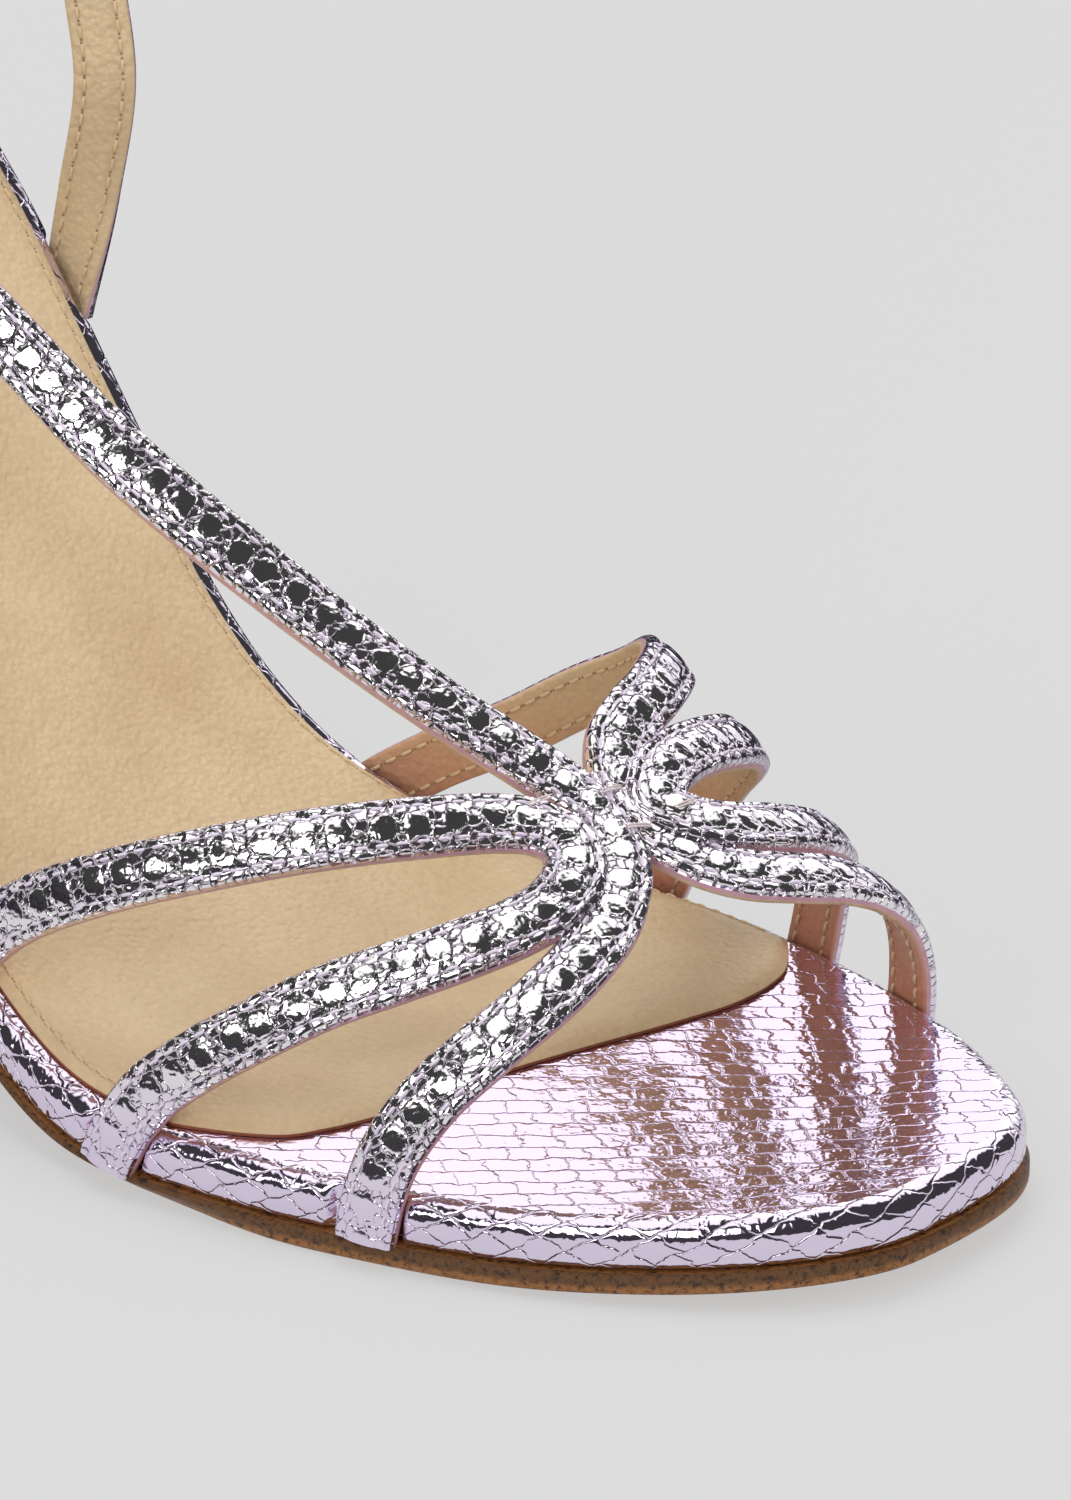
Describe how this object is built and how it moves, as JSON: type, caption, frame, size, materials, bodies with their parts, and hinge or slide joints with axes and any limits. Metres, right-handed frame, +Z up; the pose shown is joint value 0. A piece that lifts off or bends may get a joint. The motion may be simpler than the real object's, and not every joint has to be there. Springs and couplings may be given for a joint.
{
  "type": "strappy heeled sandal",
  "caption": "Right high-heeled sandal with nested vamp straps that fold back at the middle, a strap wrapped round the ankle to a side buckle, and a slim covered heel.",
  "frame": {"origin": "on the floor, at the middle of the forefoot's flat tread, on the sole's long axis", "axes": "+X to the toe, +Y to the inner (medial) side of the foot, +Z up"},
  "size_m": [0.2066, 0.0833, 0.1492],
  "materials": {
    "lilac_foil_leather": "mirror-bright metallic lilac foil on leather embossed with snake scales",
    "tan_leather": "smooth matt tan lining and sock leather with a fine grain",
    "sole_leather": "brown burnished leather outsole, satin",
    "buckle_metal": "pale polished plated metal",
    "top_piece_rubber": "dark matt hard rubber"
  },
  "bodies": {
    "root": {"outsole": "sole_leather", "platform": "lilac_foil_leather", "sock": "tan_leather", "upper": "lilac_foil_leather", "ankle_strap": "lilac_foil_leather", "strap_keeper": "lilac_foil_leather", "buckle_frame": "buckle_metal", "buckle_prong": "buckle_metal", "heel": "lilac_foil_leather", "heel_top_piece": "top_piece_rubber"}
  },
  "joints": []
}
